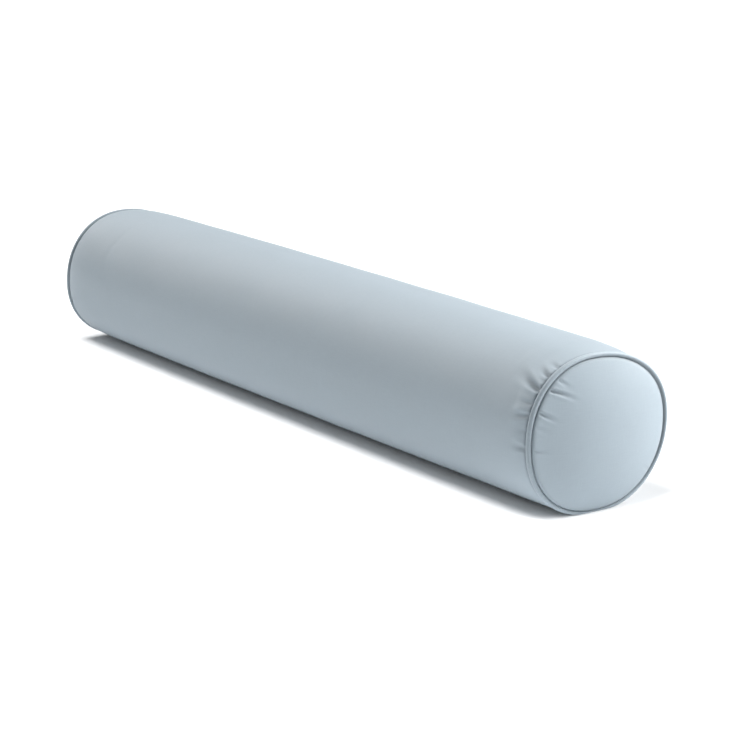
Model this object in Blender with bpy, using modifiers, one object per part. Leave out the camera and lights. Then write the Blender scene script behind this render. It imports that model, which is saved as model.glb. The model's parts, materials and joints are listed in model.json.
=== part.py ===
"""Bolster pillow: a piped, zipped cover round a lined, wadding-wrapped foam core.

Metres, +Z up. The origin is on the floor under the middle of the pillow, +X runs along it to its right
end, and the zip is on the back, at +Y. The pillow is drawn round first, turned about its own axis, and
then settled: its section becomes a low oval with a flat strip where it lies on the floor.
"""
import math

import bmesh
import bpy
from mathutils import Vector

# Driving dimensions
SEAM_LENGTH = 1.090  # from the middle of one piping ring to the middle of the other
TUBE_RADIUS = 0.1049  # half the width of the settled body, outside the cover
PIPING_RING_RADIUS = 0.1003  # centre line of the piping
PIPING_RADIUS = 0.0033  # outside the welt
DOME_HEIGHT = 0.019  # how far an end panel stands out past its piping's middle
ZIP_LENGTH = 0.760  # length of the rows of coil teeth
GAP = 0.0003  # air between pieces that touch
MERGE = 0.00001  # points closer than this are one point

# Settled section
FLATTEN = 0.918  # half height over half width, before the floor flattens the underside
AXIS_HEIGHT = 0.0940  # of the pillow's axis above the floor
SQUARENESS = 2.15  # exponent of the section's superellipse: 2 is a plain ellipse
LINER_FLAT_Y = 0.0988  # the filled liner lies flat behind the zip, at this distance from the axis

# Cloth thicknesses
COVER_CLOTH = 0.0012
WELT_CLOTH = 0.0009
LINER_CLOTH = 0.0006
WADDING = 0.0095
SEAM_ALLOWANCE = 0.0095  # how far the sewn edges reach in from the seam line

# Ends, measured from the middle plane of the piping
END_X = SEAM_LENGTH / 2
SEAM_RADIUS = PIPING_RING_RADIUS - PIPING_RADIUS
ALLOWANCE_RADIUS = SEAM_RADIUS - SEAM_ALLOWANCE
WELT_FLANGE = 0.0012  # half the thickness of the welt's doubled flange
SHOULDER_LENGTH = 0.050  # over which the body narrows to the piping
SHOULDER_RADIUS = 0.1010  # the body's radius beside the piping
LINER_END = 0.009  # the liner's end seam lies this far inside the piping
CORE_END = 0.022  # and the foam's flat end this far

SHOULDER_START = 0.0010  # the shoulder starts this far past the piping's edge
FOLD_DROP = 0.0008  # of the turned-in edges' folds below the seam line
PANEL_FOLD_RADIUS = 0.0024
LINER_NECK = 0.0040  # the liner's end disc passes inside the allowances this far in
LINER_DOME = 0.0130  # and stands out this far past the piping's plane in its middle
PAD_CLEARANCE = 0.0012
PAD_RIM_DEPTH = 0.0045

# Zip, seen square on: X along it, Z across it, Y out of the pillow
ZIP_Z = AXIS_HEIGHT
TAPE_Y = 0.1022  # middle of the tapes' thickness
TAPE_THICKNESS = 0.0006
TAPE_WIDTH = 0.0094
TAPE_EDGE = 0.0031  # from the zip's centre line to a tape's inner edge
TAPE_OVERRUN = 0.014  # of the tapes past the teeth, at each end
SLIT_HALF_WIDTH = 0.0055
SLIT_OVERRUN = 0.012
SLIT_CUT_DEPTH = 0.020
COIL_HEIGHT = 0.0024
COIL_TIP = 0.0008  # from the centre line to a row's teeth, clear of the slider's post
COIL_OUTER = 0.0028  # and to the row's outer edge
COIL_BEVEL = 0.0005
STOP_LENGTH = 0.0030
STOP_CLEARANCE = 0.0005
STOP_BEVEL = 0.0004

# Slider and pull
SLIDER_LENGTH = 0.0120
SLIDER_HALF_WIDTH = 0.0044
SLIDER_NOSE = 0.0012  # cut off each corner of a plate's blunt end
SLIDER_TAIL = 0.0022  # and of its narrow end
SLIDER_SET_BACK = 0.0020  # of the closed slider's end from the first tooth
SLIDER_GAP = 0.0004  # between a plate and the teeth
PLATE_THICKNESS = 0.0010
LIP_THICKNESS = 0.0008
LIP_INSET = 0.0001  # of a lip from its plate's long edge
LIP_SHORTER = 0.0040  # than the plate
LIP_OFFSET = 0.0003  # towards the blunt end
POST_LENGTH = 0.0030
POST_THICKNESS = 0.0009
POST_INSET = 0.0004  # of the post from the plates' blunt ends
BRIDGE_LENGTH = 0.0054
BRIDGE_WIDTH = 0.0018
BRIDGE_HEIGHT = 0.0030
BRIDGE_BAR = 0.0009
BRIDGE_TRIM = 0.0002  # by which the bridge's top is smaller than its legs' outline
PULL_PIN_HEIGHT = 0.0012  # of the pull's pin above the top plate
PULL_THICKNESS = 0.0010
PULL_WIDTH = 0.0062
PULL_LENGTH = 0.0260
PULL_TIP_WIDTH = 0.0048
PULL_TAPER = 0.0015  # length over which the pull narrows past its window
PULL_WINDOW = 0.0040
PULL_WINDOW_HALF_WIDTH = 0.0014
PULL_HOLE_RADIUS = 0.0013

# Care label, hanging from the lower tape inside the cover
LABEL_SIZE = (0.0350, 0.0004, 0.0120)
LABEL_X = 0.250
LABEL_GAP = 0.0005  # under the lower tape
LABEL_Y = 0.1000

# Radii of the layers, from the cover's lining side inwards
LINER_RADIUS = TUBE_RADIUS - COVER_CLOTH - GAP
WADDING_RADIUS = LINER_RADIUS - LINER_CLOTH - GAP
CORE_RADIUS = WADDING_RADIUS - WADDING - GAP
LINER_DROP = 0.0030  # of the liner's radius at its end seams
WADDING_DROP = 0.0045  # of the wadding's radius at its ends
WADDING_SPLIT = 0.0030  # between the wrapped sheet's two edges
CORE_CHAMFER = 0.0040
PAD_RADIUS = 0.0960

TURN_STEPS = 32
DOME_STEPS = 6
SHOULDER_STEPS = 4

PLATE_TOP_Y = TAPE_Y + COIL_HEIGHT / 2 + SLIDER_GAP + PLATE_THICKNESS
PULL_AXIS_Y = PLATE_TOP_Y + PULL_PIN_HEIGHT
ROW_START = -ZIP_LENGTH / 2
ROW_END = ZIP_LENGTH / 2
SLIDER_X = ROW_START + SLIDER_LENGTH / 2 + SLIDER_SET_BACK  # middle of the slider when the zip is closed

COLOURS = {
    "cover_fabric": ((0.46, 0.55, 0.62), 0.62, 0.0),
    "piping_filler": ((0.86, 0.84, 0.78), 0.90, 0.0),
    "liner_cotton": ((0.88, 0.88, 0.85), 0.92, 0.0),
    "wadding": ((0.93, 0.93, 0.93), 0.95, 0.0),
    "core_foam": ((0.90, 0.86, 0.70), 0.90, 0.0),
    "zip_tape": ((0.40, 0.48, 0.55), 0.85, 0.0),
    "zip_teeth": ((0.42, 0.50, 0.57), 0.45, 0.0),
    "zip_metal": ((0.62, 0.63, 0.65), 0.32, 1.0),
    "label_tape": ((0.90, 0.90, 0.89), 0.80, 0.0),
}


# ---- scene and materials ----------------------------------------------------------------------------

def clear_scene():
    for obj in list(bpy.data.objects):
        bpy.data.objects.remove(obj, do_unlink=True)


def new_collection(name):
    collection = bpy.data.collections.new(name)
    bpy.context.scene.collection.children.link(collection)
    return collection


def make_material(name):
    colour, roughness, metallic = COLOURS[name]
    material = bpy.data.materials.new(name)
    material.use_nodes = True
    shader = material.node_tree.nodes["Principled BSDF"]
    shader.inputs["Base Color"].default_value = (*colour, 1.0)
    shader.inputs["Roughness"].default_value = roughness
    shader.inputs["Metallic"].default_value = metallic
    return material


# ---- turned pieces ----------------------------------------------------------------------------------

def superellipse(value):
    return math.copysign(abs(value) ** (2 / SQUARENESS), value)


def settle(mesh, flat_y):
    """Turns a round mesh about the X axis into the settled section, resting on the floor.

    A point at radius r stays TUBE_RADIUS - r above the floor, so layers keep their thickness there.
    Points past the plane y = flat_y are laid on it, where the zip needs room.
    """
    for vertex in mesh.vertices:
        radius = math.hypot(vertex.co.y, vertex.co.z)
        if radius < 1e-9:
            vertex.co.z = AXIS_HEIGHT
            continue
        y = radius * superellipse(vertex.co.y / radius)
        z = AXIS_HEIGHT + radius * FLATTEN * superellipse(vertex.co.z / radius)
        vertex.co.y = min(y, flat_y)
        vertex.co.z = max(z, TUBE_RADIUS - radius)


def turned(name, profile, closed=False, flat_y=TUBE_RADIUS):
    """A profile of (x, radius) points turned about the X axis and settled, as a mesh object."""
    mesh = bpy.data.meshes.new(name)
    edges = [(i, i + 1) for i in range(len(profile) - 1)]
    if closed:
        edges.append((len(profile) - 1, 0))
    mesh.from_pydata([(x, radius, 0.0) for x, radius in profile], edges, [])
    obj = bpy.data.objects.new(name, mesh)
    PARTS.objects.link(obj)
    screw = obj.modifiers.new("turn", "SCREW")
    screw.axis = "X"
    screw.steps = TURN_STEPS
    screw.render_steps = TURN_STEPS
    screw.use_merge_vertices = True
    screw.merge_threshold = MERGE
    apply_modifiers(obj)
    settle(obj.data, flat_y)
    face_outwards(obj.data)
    return obj


def apply_modifiers(obj):
    """Replaces an object's mesh by its evaluated one."""
    bpy.context.view_layer.update()
    evaluated = obj.evaluated_get(bpy.context.evaluated_depsgraph_get())
    mesh = bpy.data.meshes.new_from_object(evaluated)
    obj.modifiers.clear()
    obj.data = mesh


def face_outwards(mesh):
    edit = bmesh.new()
    edit.from_mesh(mesh)
    bmesh.ops.recalc_face_normals(edit, faces=edit.faces)
    edit.to_mesh(mesh)
    edit.free()


def face_towards(mesh, outside_point):
    """Turns an open surface's faces so that the one nearest to a point outside faces that point."""
    nearest = min(mesh.polygons, key=lambda face: (face.center - outside_point).length)
    if nearest.normal.dot(outside_point - nearest.center) < 0:
        mesh.flip_normals()


def thicken(obj, thickness, outside_point):
    """Gives an open turned surface its cloth thickness, on the side away from a point outside."""
    face_towards(obj.data, outside_point)
    solidify = obj.modifiers.new("cloth", "SOLIDIFY")
    solidify.thickness = thickness
    solidify.offset = -1.0
    solidify.use_even_offset = True
    apply_modifiers(obj)
    face_outwards(obj.data)


def smooth(obj, angle=35.0):
    obj.data.shade_smooth()
    obj.data.set_sharp_from_angle(angle=math.radians(angle))


def at_end(profile, side):
    """A profile given from the right piping's plane outwards, moved to the right (+1) or left (-1) end."""
    return [(side * (END_X + x), radius) for x, radius in profile]


def both_ends(profile):
    """One open profile from the right end's points to the left end's, which mirror them."""
    return at_end(profile, +1) + at_end(profile, -1)[::-1]


def arc(centre, radius, start, end, steps):
    """Points on an arc in the (x, radius) plane, angles in degrees from +x towards +radius."""
    points = []
    for i in range(steps + 1):
        angle = math.radians(start + (end - start) * i / steps)
        points.append((centre[0] + radius * math.cos(angle), centre[1] + radius * math.sin(angle)))
    return points


def shoulder(start_x, start_radius, full_radius, steps):
    """(x, radius) from beside the piping down to the full radius, like a quarter of an ellipse."""
    points = []
    for i in range(steps + 1):
        share = (i / steps) ** 2
        x = start_x + (SHOULDER_LENGTH - start_x) * share
        rise = math.sqrt(1 - (1 - share) ** 2)
        points.append((-x, start_radius + (full_radius - start_radius) * rise))
    return points


def dome(radius, base, height, steps):
    """(x, radius) from near the rim of a stuffed end to its middle, base and height along x."""
    points = []
    for i in range(1, steps):
        share = math.cos(math.pi / 2 * i / steps)
        points.append((base + height * (1 - share ** 2.5) ** 0.75, radius * share))
    return points + [(base + height, 0.0)]


# ---- boxes, outlines and booleans -------------------------------------------------------------------

def box(name, size, centre, bevel=0.0):
    bpy.ops.mesh.primitive_cube_add(size=1.0, location=centre)
    obj = bpy.context.active_object
    obj.name = name
    obj.scale = size
    bpy.ops.object.transform_apply(location=False, rotation=False, scale=True)
    if bevel:
        edges = obj.modifiers.new("edges", "BEVEL")
        edges.width = bevel
        edges.segments = 1
    return obj


def flat_outline(name, splines, centre, thickness):
    """Closed outlines of (x, z) points round a centre, extruded along Y. Inner outlines are holes."""
    curve = bpy.data.curves.new(name, "CURVE")
    curve.dimensions = "2D"
    curve.fill_mode = "BOTH"
    curve.extrude = thickness / 2
    for points in splines:
        spline = curve.splines.new("POLY")
        spline.points.add(len(points) - 1)
        for point, (x, z) in zip(spline.points, points):
            point.co = (x, z, 0.0, 1.0)
        spline.use_cyclic_u = True
    outline = bpy.data.objects.new(name, curve)
    PARTS.objects.link(outline)
    outline.location = centre
    outline.rotation_euler = (math.pi / 2, 0.0, 0.0)
    return curve_to_mesh(outline, name)


def curve_to_mesh(outline, name):
    """The welded mesh of a curve, in the curve's place, so that it can be cut and joined."""
    bpy.context.view_layer.update()
    evaluated = outline.evaluated_get(bpy.context.evaluated_depsgraph_get())
    mesh = bpy.data.meshes.new_from_object(evaluated)
    edit = bmesh.new()
    edit.from_mesh(mesh)
    bmesh.ops.remove_doubles(edit, verts=edit.verts, dist=MERGE)
    bmesh.ops.recalc_face_normals(edit, faces=edit.faces)
    edit.to_mesh(mesh)
    edit.free()
    place_matrix = outline.matrix_world.copy()
    bpy.data.objects.remove(outline, do_unlink=True)
    obj = bpy.data.objects.new(name, mesh)
    PARTS.objects.link(obj)
    obj.matrix_world = place_matrix
    return obj


def place(obj, material, collection=None):
    """Moves an object into the parts' collection and gives it its material."""
    for old in list(obj.users_collection):
        old.objects.unlink(obj)
    (collection or PARTS).objects.link(obj)
    obj.data.materials.clear()
    obj.data.materials.append(MATERIALS[material])
    return obj


def combine(obj, tool, operation):
    """Adds a Boolean with a tool object, which moves to the cutters' collection and is hidden."""
    for old in list(tool.users_collection):
        old.objects.unlink(tool)
    CUTTERS.objects.link(tool)
    tool.hide_render = True
    tool.display_type = "WIRE"
    boolean = obj.modifiers.new(tool.name, "BOOLEAN")
    boolean.operation = operation
    boolean.object = tool


# ---- cover ------------------------------------------------------------------------------------------

def make_cover_body():
    """The tube: in at each end beside the welt's flange, out round the piping and over the shoulder."""
    flange_x = -(WELT_FLANGE + GAP)
    round_piping = arc((0.0, PIPING_RING_RADIUS), PIPING_RADIUS + 2 * GAP, 232.0, 196.0, 2)
    over = shoulder(PIPING_RADIUS + SHOULDER_START, SHOULDER_RADIUS, TUBE_RADIUS, SHOULDER_STEPS)
    end = [(flange_x, ALLOWANCE_RADIUS), (flange_x, SEAM_RADIUS - FOLD_DROP)] + round_piping + over
    body = turned("cover_body", both_ends(end))
    thicken(body, COVER_CLOTH, Vector((0.0, 0.0, 2 * TUBE_RADIUS)))
    slit_size = (ZIP_LENGTH + 2 * SLIT_OVERRUN, SLIT_CUT_DEPTH, 2 * SLIT_HALF_WIDTH)
    combine(body, box("zip_slit_cutter", slit_size, (0.0, TUBE_RADIUS, ZIP_Z)), "DIFFERENCE")
    smooth(body)
    return place(body, "cover_fabric")


def make_end_panel(name, side):
    """A panel: in at its sewn edge, round a soft fold beside the piping and over the dome."""
    flange_x = WELT_FLANGE + GAP
    fold_centre = (flange_x + PANEL_FOLD_RADIUS, SEAM_RADIUS - PANEL_FOLD_RADIUS + FOLD_DROP)
    fold = arc(fold_centre, PANEL_FOLD_RADIUS, 180.0, 35.0, 4)
    base = fold[-1][0]
    over = dome(fold[-1][1], base, DOME_HEIGHT - base, DOME_STEPS)
    panel = turned(name, at_end([(flange_x, ALLOWANCE_RADIUS)] + fold + over, side))
    thicken(panel, COVER_CLOTH, Vector((side * SEAM_LENGTH, 0.0, AXIS_HEIGHT)))
    smooth(panel)
    return place(panel, "cover_fabric")


def make_piping_welt(name, side):
    """Keyhole outline: cloth round the piping cord, its two legs sewn flat together as a flange."""
    centre = (0.0, PIPING_RING_RADIUS)
    inner_radius = PIPING_RADIUS - WELT_CLOTH
    slit = WELT_FLANGE - WELT_CLOTH
    outer_angle = math.degrees(math.asin(WELT_FLANGE / PIPING_RADIUS))
    inner_angle = math.degrees(math.asin(slit / inner_radius))
    outer = arc(centre, PIPING_RADIUS, 270.0 - outer_angle, outer_angle - 90.0, 8)
    inner = arc(centre, inner_radius, inner_angle - 90.0, 270.0 - inner_angle, 6)
    outline = [(-WELT_FLANGE, ALLOWANCE_RADIUS)] + outer + [(WELT_FLANGE, ALLOWANCE_RADIUS)]
    outline += [(slit, ALLOWANCE_RADIUS)] + inner + [(-slit, ALLOWANCE_RADIUS)]
    welt = turned(name, at_end(outline, side), closed=True)
    smooth(welt)
    return place(welt, "cover_fabric")


def make_piping_cord(name, side):
    radius = PIPING_RADIUS - WELT_CLOTH - GAP
    cord = turned(name, at_end(arc((0.0, PIPING_RING_RADIUS), radius, 0.0, 315.0, 7), side), closed=True)
    smooth(cord, 60.0)
    return place(cord, "piping_filler")


# ---- inner case and filling -------------------------------------------------------------------------

def make_liner_body():
    end = shoulder(LINER_END, LINER_RADIUS - LINER_DROP, LINER_RADIUS, SHOULDER_STEPS)
    liner = turned("liner_body", both_ends(end), flat_y=LINER_FLAT_Y)
    thicken(liner, LINER_CLOTH, Vector((0.0, 0.0, 2 * TUBE_RADIUS)))
    smooth(liner)
    return place(liner, "liner_cotton")


def make_liner_end(name, side):
    """A disc sewn to the liner's tube, coned in past the cover's seam allowances and then domed."""
    rim = (-(LINER_END - LINER_CLOTH - 2 * GAP), LINER_RADIUS - LINER_DROP - LINER_CLOTH)
    neck = (-LINER_NECK, ALLOWANCE_RADIUS - LINER_CLOTH)
    over = dome(neck[1], neck[0], LINER_NECK + LINER_DOME, DOME_STEPS - 1)
    end = turned(name, at_end([rim, neck] + over, side))
    thicken(end, LINER_CLOTH, Vector((side * SEAM_LENGTH, 0.0, AXIS_HEIGHT)))
    smooth(end)
    return place(end, "liner_cotton")


def make_wadding_wrap():
    over = shoulder(CORE_END, WADDING_RADIUS - WADDING_DROP, WADDING_RADIUS, 3)
    outline = both_ends([(-CORE_END, CORE_RADIUS + GAP)] + over)
    wrap = turned("wadding_wrap", outline, closed=True, flat_y=LINER_FLAT_Y - LINER_CLOTH - GAP)
    split_size = (2 * SEAM_LENGTH, WADDING_SPLIT, TUBE_RADIUS)
    combine(wrap, box("wadding_split_cutter", split_size, (0.0, 0.0, 2 * TUBE_RADIUS)), "DIFFERENCE")
    smooth(wrap)
    return place(wrap, "wadding")


def make_wadding_pad(name, side):
    """A lens of wadding between the foam's flat end and the liner's dome."""
    back = -(CORE_END - GAP)
    neck = (-LINER_NECK - PAD_CLEARANCE, ALLOWANCE_RADIUS - 2 * LINER_CLOTH)
    rim = (neck[0] - PAD_RIM_DEPTH, PAD_RADIUS)
    over = dome(neck[1], neck[0], LINER_NECK + LINER_DOME - PAD_CLEARANCE, DOME_STEPS - 1)
    pad = turned(name, at_end([(back, 0.0), (back, PAD_RADIUS), rim, neck] + over, side))
    smooth(pad)
    return place(pad, "wadding")


def make_foam_core():
    chamfer = [(-CORE_END, CORE_RADIUS - CORE_CHAMFER), (-CORE_END - CORE_CHAMFER, CORE_RADIUS)]
    end = [(-CORE_END, 0.0)] + chamfer
    core = turned("foam_core", both_ends(end))
    smooth(core)
    return place(core, "core_foam")


# ---- zip --------------------------------------------------------------------------------------------

def make_zip_tape(name, side):
    size = (ZIP_LENGTH + 2 * TAPE_OVERRUN, TAPE_THICKNESS, TAPE_WIDTH)
    centre = (0.0, TAPE_Y, ZIP_Z + side * (TAPE_EDGE + TAPE_WIDTH / 2))
    return place(box(name, size, centre), "zip_tape")


def make_zip_coil(name, side):
    """One row of the closed zip, as the solid outer shape of its coil of nylon teeth."""
    size = (ZIP_LENGTH, COIL_HEIGHT, COIL_OUTER - COIL_TIP)
    centre = (0.0, TAPE_Y, ZIP_Z + side * (COIL_OUTER + COIL_TIP) / 2)
    return place(box(name, size, centre, COIL_BEVEL), "zip_teeth")


def make_zip_stop(name, side):
    size = (STOP_LENGTH, COIL_HEIGHT, COIL_OUTER - COIL_TIP)
    x = ROW_START - STOP_CLEARANCE - STOP_LENGTH / 2
    stop = box(name, size, (x, TAPE_Y, ZIP_Z + side * (COIL_OUTER + COIL_TIP) / 2), STOP_BEVEL)
    return place(stop, "zip_metal")


def make_bottom_stop():
    size = (STOP_LENGTH, COIL_HEIGHT, 2 * COIL_OUTER)
    x = ROW_END + STOP_CLEARANCE + STOP_LENGTH / 2
    return place(box("zip_bottom_stop", size, (x, TAPE_Y, ZIP_Z), STOP_BEVEL), "zip_metal")


def plate_outline():
    """A slider plate, blunt at its nose (-X) and narrowed at its tail."""
    half = SLIDER_LENGTH / 2
    upper = [(-half, SLIDER_HALF_WIDTH - SLIDER_NOSE), (-half + SLIDER_NOSE, SLIDER_HALF_WIDTH),
             (half - SLIDER_TAIL, SLIDER_HALF_WIDTH), (half, SLIDER_HALF_WIDTH - SLIDER_TAIL)]
    return upper + [(x, -z) for x, z in reversed(upper)]


def slider_pieces():
    """The slider's plates, lips, post and bridge, as overlapping solids."""
    offset = COIL_HEIGHT / 2 + SLIDER_GAP + PLATE_THICKNESS / 2
    lip_reach = offset - TAPE_THICKNESS / 2 - SLIDER_GAP
    lip_length = SLIDER_LENGTH - LIP_SHORTER
    pieces = []
    for sign in (-1, 1):
        middle = (SLIDER_X, TAPE_Y + sign * offset, ZIP_Z)
        pieces.append(flat_outline(f"slider_plate_{sign}", [plate_outline()], middle, PLATE_THICKNESS))
        for side in (-1, 1):
            z = ZIP_Z + side * (SLIDER_HALF_WIDTH - LIP_THICKNESS / 2 - LIP_INSET)
            y = TAPE_Y + sign * (offset - lip_reach / 2)
            pieces.append(box(f"slider_lip_{sign}_{side}", (lip_length, lip_reach, LIP_THICKNESS),
                              (SLIDER_X - LIP_OFFSET, y, z)))
    post_x = SLIDER_X - SLIDER_LENGTH / 2 + POST_LENGTH / 2 + POST_INSET
    pieces.append(box("slider_post", (POST_LENGTH, 2 * offset, POST_THICKNESS), (post_x, TAPE_Y, ZIP_Z)))
    return pieces + bridge_pieces()


def bridge_pieces():
    """The arch on the top plate that holds the pull."""
    sunk = PLATE_THICKNESS / 2
    leg_height = BRIDGE_HEIGHT + sunk
    pieces = []
    for sign in (-1, 1):
        x = SLIDER_X + sign * (BRIDGE_LENGTH - BRIDGE_BAR) / 2
        y = PLATE_TOP_Y - sunk + leg_height / 2
        pieces.append(box(f"bridge_leg_{sign}", (BRIDGE_BAR, leg_height, BRIDGE_WIDTH), (x, y, ZIP_Z)))
    y = PLATE_TOP_Y + BRIDGE_HEIGHT - (BRIDGE_BAR + BRIDGE_TRIM) / 2
    top_size = (BRIDGE_LENGTH - BRIDGE_TRIM, BRIDGE_BAR, BRIDGE_WIDTH - BRIDGE_TRIM)
    pieces.append(box("bridge_top", top_size, (SLIDER_X, y, ZIP_Z)))
    return pieces


def make_zip_slider():
    pieces = slider_pieces()
    slider = pieces[0]
    slider.name = "zip_slider"
    for piece in pieces[1:]:
        combine(slider, piece, "UNION")
    apply_modifiers(slider)
    return place(slider, "zip_metal")


def make_zip_pull():
    """A flat pull hung by its end bar, with a window that clears the slider's bridge and a finger hole."""
    half = PULL_THICKNESS / 2
    neck = half + PULL_WINDOW + PULL_THICKNESS
    side = [(-half, PULL_WIDTH / 2), (neck, PULL_WIDTH / 2), (neck + PULL_TAPER, PULL_TIP_WIDTH / 2)]
    tip_radius = PULL_TIP_WIDTH / 2
    tip_x = PULL_LENGTH - tip_radius
    tip = arc((tip_x, 0.0), tip_radius, 90.0, -90.0, 8)
    outer = side + tip + [(x, -z) for x, z in reversed(side)]
    window = [(half, -PULL_WINDOW_HALF_WIDTH), (half, PULL_WINDOW_HALF_WIDTH),
              (half + PULL_WINDOW, PULL_WINDOW_HALF_WIDTH), (half + PULL_WINDOW, -PULL_WINDOW_HALF_WIDTH)]
    hole = arc((tip_x, 0.0), PULL_HOLE_RADIUS, 0.0, 330.0, 11)
    centre = (SLIDER_X, PULL_AXIS_Y, ZIP_Z)
    pull = flat_outline("zip_pull_tab", [outer, window, hole], centre, PULL_THICKNESS)
    return place(pull, "zip_metal")


def make_care_label():
    z = ZIP_Z - TAPE_EDGE - TAPE_WIDTH - LABEL_GAP - LABEL_SIZE[2] / 2
    return place(box("care_label", LABEL_SIZE, (LABEL_X, LABEL_Y, z)), "label_tape")


# ---- the whole pillow -------------------------------------------------------------------------------

clear_scene()
PARTS = new_collection("bolster_pillow")
CUTTERS = new_collection("cutters")
MATERIALS = {name: make_material(name) for name in COLOURS}

make_cover_body()
make_liner_body()
make_wadding_wrap()
make_foam_core()
for end_name, end_side in (("left", -1), ("right", 1)):
    make_end_panel(f"{end_name}_end_panel", end_side)
    make_piping_welt(f"{end_name}_piping_welt", end_side)
    make_piping_cord(f"{end_name}_piping_cord", end_side)
    make_liner_end(f"liner_{end_name}_end", end_side)
    make_wadding_pad(f"wadding_{end_name}_pad", end_side)
for row_name, row_side in (("lower", -1), ("upper", 1)):
    make_zip_tape(f"zip_tape_{row_name}", row_side)
    make_zip_coil(f"zip_coil_{row_name}", row_side)
    make_zip_stop(f"zip_top_stop_{row_name}", row_side)
make_bottom_stop()
make_zip_slider()
make_zip_pull()
make_care_label()
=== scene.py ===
"""Looks of the bolster pillow: cloth, piping, zip and light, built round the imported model.

Metres, +Z up, +X along the pillow to its right end, the zip on the back at +Y.
"""
import json
import math

import bmesh
import bpy
import numpy as np
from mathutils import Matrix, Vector


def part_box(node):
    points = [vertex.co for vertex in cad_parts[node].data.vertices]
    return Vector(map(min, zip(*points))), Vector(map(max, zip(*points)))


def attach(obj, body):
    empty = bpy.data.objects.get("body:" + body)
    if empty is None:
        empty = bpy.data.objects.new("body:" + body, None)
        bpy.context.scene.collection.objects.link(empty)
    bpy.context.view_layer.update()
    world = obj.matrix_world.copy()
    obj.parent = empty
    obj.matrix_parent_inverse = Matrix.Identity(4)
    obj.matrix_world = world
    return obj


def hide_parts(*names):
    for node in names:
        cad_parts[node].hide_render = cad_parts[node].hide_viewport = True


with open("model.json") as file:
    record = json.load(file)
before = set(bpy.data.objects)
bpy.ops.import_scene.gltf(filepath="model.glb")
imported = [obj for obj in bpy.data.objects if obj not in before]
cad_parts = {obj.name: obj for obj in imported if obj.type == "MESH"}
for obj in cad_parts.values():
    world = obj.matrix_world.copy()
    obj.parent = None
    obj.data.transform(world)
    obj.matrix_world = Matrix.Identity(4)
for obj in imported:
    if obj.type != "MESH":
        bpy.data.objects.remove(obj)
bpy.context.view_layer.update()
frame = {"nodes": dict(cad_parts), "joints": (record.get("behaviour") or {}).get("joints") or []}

# ---- sizes read from the frame ----------------------------------------------------------------------

welt_low, welt_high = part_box("right_piping_welt")
body_low, body_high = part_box("cover_body")
panel_low, panel_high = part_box("right_end_panel")
slider_low, slider_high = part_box("zip_slider")
tape_low, tape_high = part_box("zip_tape_upper")
coil_low, coil_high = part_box("zip_coil_upper")
liner_low, liner_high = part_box("liner_body")
filler_low, filler_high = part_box("right_piping_cord")

END_X = (welt_low.x + welt_high.x) / 2  # middle plane of the right piping
PIPING_RADIUS = (welt_high.x - welt_low.x) / 2
RING_RADIUS = welt_high.y - PIPING_RADIUS
TUBE_RADIUS = body_high.y
AXIS_HEIGHT = (slider_low.z + slider_high.z) / 2
FLATTEN = (body_high.z - AXIS_HEIGHT) / TUBE_RADIUS
DOME_TOP = panel_high.x - END_X
SLIT_HALF_LENGTH = tape_high.x - 0.002
ROW_HALF_LENGTH = coil_high.x
TAPE_Y = (tape_low.y + tape_high.y) / 2
LINER_FLAT_Y = liner_high.y
FILLER_RADIUS = (filler_high.x - filler_low.x) / 2

# ---- proportions of the cloth -----------------------------------------------------------------------

SQUARENESS = 2.15  # exponent of the section's superellipse
FLOOR_ROUNDING = 0.0018  # how softly the underside turns into the flat strip it lies on
SHOULDER_LENGTH = 0.060
SHOULDER_RADIUS = RING_RADIUS + 0.0006
BARREL = 0.0021  # how much further out the body stands in its middle than over its shoulders
SEAM_RADIUS = RING_RADIUS - PIPING_RADIUS
SEAM_DEPTH = 0.0035  # how far the cloth is followed into the seam
SLIT_HALF_WIDTH = 0.0055
HEM_RADIUS = 0.0008
HEM_RETURN = 0.0085
CLOTH = 0.0009

AROUND = 248
END_ROWS = 50
MIDDLE_ROWS = 26
END_ROW_STEP = 0.0019
PANEL_ROWS = 60
PIPING_SIDES = 16

PIPING_GAP = 0.0003  # between the piping's cloth and the body's cloth that hugs it
BODY_SEAM_X = 0.0011  # the body's seam stands this far inside the piping's middle plane
SEAM_SHADE = 0.0035  # how far from the piping the cloth carries painted shade, standing in for the piping's shadow
PANEL_SEAM_X = 0.0012  # the panel's seam stands this far outside the piping's middle plane
PANEL_ROLL = 0.0014  # how quickly the panel rises out of its seam
PANEL_PUFF = 0.0034  # how far the stuffing pushes the panel out against the piping, on its tight side
PANEL_PRESS = 0.0016  # how far it is pressed sideways into the piping there
TIGHT_ANGLE = 195.0
PANEL_TOP = DOME_TOP + 0.001

SIM_FRAMES = 20
SIM_PRESSURE = 4.0
SIM_CAP = 0.0022  # the furthest that the simulation may move a point
SIM_SMOOTHING = 6
SIM_FADE = 0.012
ZIP_PINNED = 5.0  # degrees either side of the zip
FLOOR_PINNED = 16.0  # degrees either side of the lowest line

# ---- proportions of the zip -------------------------------------------------------------------------

TAPE_THICKNESS = 0.0005
TAPE_PAST_SLIT = 0.004
COIL_PITCH = 0.0016
COIL_MIDDLE = 0.00160
COIL_REACH = 0.00165
COIL_HALF_HEIGHT = 0.00088
COIL_WIRE_RADIUS = 0.00031
THREAD_RADIUS = 0.00019
STITCH_LENGTH = 0.0027
STITCH_GAP = 0.0008
STITCHES_AWAY = 0.0105  # from the zip's middle line
STITCHES_PAST_SLIT = 0.0035
BAR_STITCH_DEGREES = 1.5
BAR_GAP_DEGREES = 0.45

# ---- colours, light and camera ----------------------------------------------------------------------

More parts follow.
